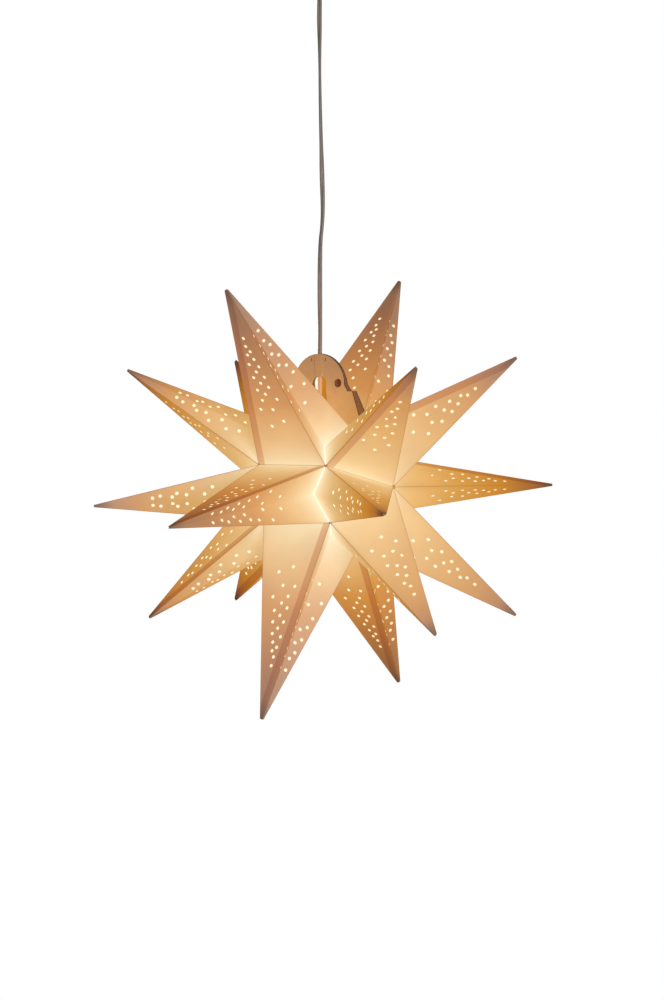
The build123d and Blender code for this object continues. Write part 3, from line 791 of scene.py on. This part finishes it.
# %% Grips, soft edges and finished pieces
def rib(form, radius, low, high, depth, edge):
    """Sets in every second outer side face that lies between two heights."""
    sides = []
    for face in form.faces:
        middle = face.calc_center_median()
        outer_side = middle.xy.length > 0.97 * radius and abs(face.normal.z) < 0.3
        if low < middle.z < high and outer_side:
            sides.append((middle.xy.angle_signed(Vector((1, 0))), face))
    sides.sort(key=lambda side: side[0])
    dents = [face for _, face in sides][::2]
    bmesh.ops.inset_individual(form, faces=dents, thickness=edge, depth=-depth)


def soften(form, width, least=35):
    """Bevels the hard edges."""
    hard = [e for e in form.edges if e.is_manifold and e.calc_face_angle() > radians(least)]
    bmesh.ops.bevel(
        form, geom=hard, offset=width, segments=2, profile=0.5, affect="EDGES", material=-1,
        clamp_overlap=True)


def finished(name, form, finish, body, replaced=()):
    mesh = bpy.data.meshes.new(name)
    for face in form.faces:
        face.smooth = True
    form.to_mesh(mesh)
    form.free()
    mesh.set_sharp_from_angle(angle=radians(40))
    mesh.materials.append(finish.material)
    piece = bpy.data.objects.new(name, mesh)
    bpy.context.collection.objects.link(piece)
    if replaced:
        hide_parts(*replaced)
    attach(piece, body)
    print(name, len(mesh.polygons), "faces")
    return piece


print("pieces can be finished")

# %% [markdown]
# The ceiling cup is moulded in one piece, with a bead round its mouth and a rounded shoulder. Its
# outline runs up the outside from the bore and comes back down the inside.

# %% Ceiling cup
CUP_TOP_R, CUP_BASE_R, CUP_WALL = 50 * MM, 17 * MM, 2 * MM
CUP_TOP, CUP_LOW = -0.5 * MM, -60.5 * MM
CUP_BORE = 3.25 * MM
cup_form = turned([
    (CUP_BORE, CUP_LOW), (CUP_BASE_R - 4 * MM, CUP_LOW),
    (CUP_BASE_R - 0.6 * MM, CUP_LOW + 1.6 * MM), (CUP_BASE_R + 1.2 * MM, CUP_LOW + 4.6 * MM),
    (CUP_TOP_R - 3.4 * MM, CUP_TOP - 5.5 * MM), (CUP_TOP_R - 0.4 * MM, CUP_TOP - 3.6 * MM),
    (CUP_TOP_R, CUP_TOP - 1.6 * MM), (CUP_TOP_R - 0.7 * MM, CUP_TOP),
    (CUP_TOP_R - CUP_WALL, CUP_TOP), (CUP_TOP_R - CUP_WALL - 3 * MM, CUP_TOP - 5 * MM),
    (CUP_BASE_R - CUP_WALL + 1.2 * MM, CUP_LOW + 5 * MM),
    (CUP_BASE_R - 4.5 * MM, CUP_LOW + CUP_WALL), (CUP_BORE, CUP_LOW + CUP_WALL)], steps=96)
soften(cup_form, 0.5 * MM, 24)
finished("cup_body", cup_form, cup_white, "cup", ["ceiling_cup"])

# %% [markdown]
# The stop under the cup and the body of the lampholder are collars with grips, so one function
# makes both. A lip at each end frames the grips.

# %% Collars
COLLAR_LIP, LIP_STEP = 1.4 * MM, 0.5 * MM
GRIP_DEPTH, GRIP_EDGE, GRIP_SOFT = 0.45 * MM, 0.25 * MM, 0.18 * MM


def collar(name, radius, high, low, bore, ribs, look, body, replaced):
    """A ring with set-in grips on its side."""
    finish, slot = look
    lip_r, lip_low, lip_high = radius - LIP_STEP, low + COLLAR_LIP, high - COLLAR_LIP
    form = turned([
        (bore, low), (lip_r, low), (lip_r, lip_low), (radius, lip_low), (radius, lip_high),
        (lip_r, lip_high), (lip_r, high), (bore, high)], steps=2 * ribs)
    rib(form, radius, lip_low, lip_high, GRIP_DEPTH, GRIP_EDGE)
    soften(form, GRIP_SOFT)
    finished(name, form, finish, body, [replaced])


STOP_R, STOP_BORE, STOP_LOW = 7.5 * MM, 3.4 * MM, -71.5 * MM
collar(
    "stop_grip", STOP_R, CUP_LOW, STOP_LOW, STOP_BORE, 16, (cup_white, "white_plastic"), "cup",
    "cup_stop")

# %% [markdown]
# A small screw clamps the stop to the flex. It has no head: its outer end has a socket for a key,
# and its inner end a cone. It is turned upright and then laid over to point out of the stop's
# front.

# %% Screw of the stop
GRUB_R, GRUB_OUT = 1.5 * MM, 7.2 * MM
SOCKET_R = 0.7 * MM
grub_form = turned([
    (0, GRUB_OUT - 0.9 * MM), (SOCKET_R, GRUB_OUT - 0.8 * MM), (SOCKET_R, GRUB_OUT),
    (GRUB_R - 0.2 * MM, GRUB_OUT), (GRUB_R, GRUB_OUT - 0.2 * MM), (GRUB_R, STOP_BORE + 0.4 * MM),
    (GRUB_R - 0.4 * MM, STOP_BORE), (0, STOP_BORE)], closed=False, steps=24)
stop_middle = Matrix.Translation((0, 0, (CUP_LOW + STOP_LOW) / 2))
laid_over(grub_form, stop_middle @ Matrix.Rotation(pi / 2, 4, "X"))
finished("stop_screw", grub_form, steel, "cup", ["cup_stop_screw"])

# %% [markdown]
# The body of the lampholder is the second collar. It is larger and has more grips, to be held
# while the lamp is turned in or out.

# %% Body of the lampholder
HOLDER_R, HOLDER_INNER = 14 * MM, 12.4 * MM
HOLDER_HIGH, HOLDER_LOW = -609 * MM, -639 * MM
collar(
    "holder_grip", HOLDER_R, HOLDER_HIGH, HOLDER_LOW, HOLDER_INNER, 30,
    (holder_black, "black_plastic"), "pendant", "holder_shell")

# %% [markdown]
# A press button of brown fibre sits in each eyelet of the back plate, and snaps through the front
# plate to keep the shade shut. It is a low dome, turned and laid over onto the plate.

# %% Press buttons
EYELET_X = 28 * MM
EYELET_H = 53 * MM
BUTTON_R = 4.95 * MM
BUTTON_SEAT = 0.6 * MM
# painted light: the fibre gives off a faint red glow of its own
fibre = moulded("red_brown_fibre", (0.085, 0.022, 0.006), 0.4, 0.3, (0.13, 0.018, 0.0))
for name, x in (("left", -EYELET_X), ("right", EYELET_X)):
    button = turned([
        (0, 0.9 * MM), (2.2 * MM, 0.8 * MM), (3.3 * MM, 0.3 * MM), (3.6 * MM, -0.1 * MM),
        (BUTTON_R - 0.3 * MM, 0), (BUTTON_R, -0.3 * MM), (BUTTON_R, -1.0 * MM),
        (BUTTON_R - 0.4 * MM, -1.3 * MM), (0, -1.3 * MM)], closed=False, steps=40)
    seat = Matrix.Translation((x, CARD_MIDDLE - BUTTON_SEAT, seam_z + EYELET_H))
    laid_over(button, hang @ seat @ Matrix.Rotation(pi / 2, 4, "X"))
    finished("press_button_" + name, button, fibre, "pendant")

# %% [markdown]
# A curled sheet of card stands on one side of the back plate's slot, behind the flex. It is
# painted light: it gives off an orange glow of its own, as if light from below shone through it.
# It starts as a grid, whose vertices are moved to the slot's arched outline and the plate's lean,
# and a Solidify modifier gives it the thickness of card.

# %% Slot flap
SLOT_HALF, SLOT_ARCH = 10.3 * MM, 51.7 * MM
FLAP_LOW = 22 * MM
FLAP_NEAR = -1.6 * MM
FLAP_CURL = 0.6 * MM
CARD_THICK = 0.4 * MM
seam_y = CREASE_RADIUS * sin(radians(seam_angle))
flap_form = bmesh.new()
bmesh.ops.create_grid(flap_form, x_segments=8, y_segments=16, size=0.5)
for vert in flap_form.verts:
    across, up = vert.co.x + 0.5, vert.co.y + 0.5
    x = FLAP_NEAR + across * (SLOT_HALF - FLAP_NEAR)
    top = SLOT_ARCH + (SLOT_HALF ** 2 - x ** 2) ** 0.5
    z = FLAP_LOW + up * (top - FLAP_LOW)
    bent = max(0, 1 - z / CARD_BEND) * (seam_y - CARD_MIDDLE)
    vert.co = Vector((x, CARD_MIDDLE + bent - FLAP_CURL * sin(pi * across), seam_z + z))
laid_over(flap_form, hang)
flap_finish = moulded("lit_flap", (0.16, 0.09, 0.03), 0.8, 0.3, (0.46, 0.16, 0.0))
flap = finished("slot_flap", flap_form, flap_finish, "pendant")
thick = flap.modifiers.new("card", "SOLIDIFY")
thick.thickness = CARD_THICK
thick.offset = 0

# %% [markdown]
# At each end of the star's axis the six side points meet round a small opening, and a waxed thread
# drawn through their corners ends there in a flat knot. It is turned as a low dome.

# %% Pole knots
KNOT_R = 3.4 * MM
KNOT_OUT = POLE_HALF + 0.4 * MM
# painted light: the thread gives off a faint orange glow of its own
thread = moulded("waxed_thread", (0.20, 0.11, 0.05), 0.6, 0.3, (0.34, 0.14, 0.02))
for name, side in (("left", -1), ("right", 1)):
    knot_and_corner_shade = turned([
        (0, 1.3 * MM), (1.3 * MM, 1.1 * MM), (2.5 * MM, 0.5 * MM), (KNOT_R, -0.5 * MM),
        (KNOT_R - 0.6 * MM, -1.3 * MM), (0, -1.6 * MM)], closed=False, steps=24)
    pole = Matrix.Translation((side * KNOT_OUT, 0, 0))
    laid_over(knot_and_corner_shade, hang @ pole @ Matrix.Rotation(side * pi / 2, 4, "Y"))
    finished("pole_knot_" + name, knot_and_corner_shade, thread, "pendant")

# %% [markdown]
# Soft light comes from beside the camera, with a little from the other side and a pale room fill.
# The lamps are large, so no shadow has a hard edge, and a colour looks about as it is written.

# %% Studio lamps
SOFT_SIZE, SOFT_DISTANCE = 1.4, 3.0
KEY_WATTS, BACK_WATTS = 92, 80


def soft_lamp(name, direction, watts):
    """A round lamp that shines on the star from this direction."""
    lamp = bpy.data.lights.new(name, "AREA")
    lamp.shape = "DISK"
    lamp.size = SOFT_SIZE
    lamp.energy = watts
    holder = bpy.data.objects.new(name, lamp)
    direction = direction.normalized()
    holder.location = star_centre + direction * SOFT_DISTANCE
    holder.rotation_euler = direction.to_track_quat("Z", "Y").to_euler()
    bpy.context.collection.objects.link(holder)


soft_lamp("key_light", to_camera + 0.27 * to_right, KEY_WATTS)
soft_lamp("back_light", -to_camera - 0.1 * to_right, BACK_WATTS)
print("two soft lamps,", KEY_WATTS, "and", BACK_WATTS, "W")

# %% [markdown]
# The photograph's background is white, and a world bright enough to look white would wash the
# paper out. So the world is dim where it lights the object, and plain white where the camera or a
# gloss looks at it, which the Light Path node tells apart.

# %% White room
def white_where_seen(tree, plain):
    """This shader for light on the object, and white where the camera or a gloss sees it."""
    path = tree.nodes.new("ShaderNodeLightPath")
    seen = path.outputs["Is Camera Ray"]
    for other in ("Is Glossy Ray", "Is Transmission Ray"):
        either = tree.nodes.new("ShaderNodeMath")
        either.operation = "MAXIMUM"
        tree.links.new(seen, either.inputs[0])
        tree.links.new(path.outputs[other], either.inputs[1])
        seen = either.outputs[0]
    white = tree.nodes.new("ShaderNodeEmission")
    choose = tree.nodes.new("ShaderNodeMixShader")
    tree.links.new(seen, choose.inputs[0])
    tree.links.new(plain.outputs[0], choose.inputs[1])
    tree.links.new(white.outputs[0], choose.inputs[2])
    return choose


ROOM_COLOUR, ROOM_STRENGTH = (1.0, 0.97, 0.94, 1), 0.06
world = bpy.data.worlds.new("studio")
bpy.context.scene.world = world
world.use_nodes = True
room = world.node_tree.nodes["Background"]
room.inputs["Color"].default_value = ROOM_COLOUR
room.inputs["Strength"].default_value = ROOM_STRENGTH
backdrop = white_where_seen(world.node_tree, room)
world_out = world.node_tree.nodes["World Output"]
world.node_tree.links.new(backdrop.outputs[0], world_out.inputs["Surface"])
print("room strength", ROOM_STRENGTH)

# %% [markdown]
# The pendant hangs high over a plain pale floor. The floor is a disc far below, so it gives a
# little light back from underneath, and none of the other views is cut off by it.

# %% Floor
FLOOR_DROP = -4.3
FLOOR_R = 6.0
FLOOR_COLOUR = (0.85, 0.85, 0.84, 1)
floor_form = bmesh.new()
bmesh.ops.create_circle(
    floor_form, cap_ends=True, segments=96, radius=FLOOR_R,
    matrix=Matrix.Translation((0, 0, FLOOR_DROP)))
floor_mesh = bpy.data.meshes.new("floor")
floor_form.to_mesh(floor_mesh)
floor_form.free()
floor_paint = bpy.data.materials.new("pale_floor")
floor_paint.use_nodes = True
nodes = floor_paint.node_tree.nodes
paint = nodes["Principled BSDF"]
paint.inputs["Base Color"].default_value = FLOOR_COLOUR
paint.inputs["Roughness"].default_value = 0.8
shown = white_where_seen(floor_paint.node_tree, paint)
floor_paint.node_tree.links.new(shown.outputs[0], nodes["Material Output"].inputs["Surface"])
floor_mesh.materials.append(floor_paint)
floor = bpy.data.objects.new("floor", floor_mesh)
bpy.context.collection.objects.link(floor)
print("floor at", FLOOR_DROP, "m")
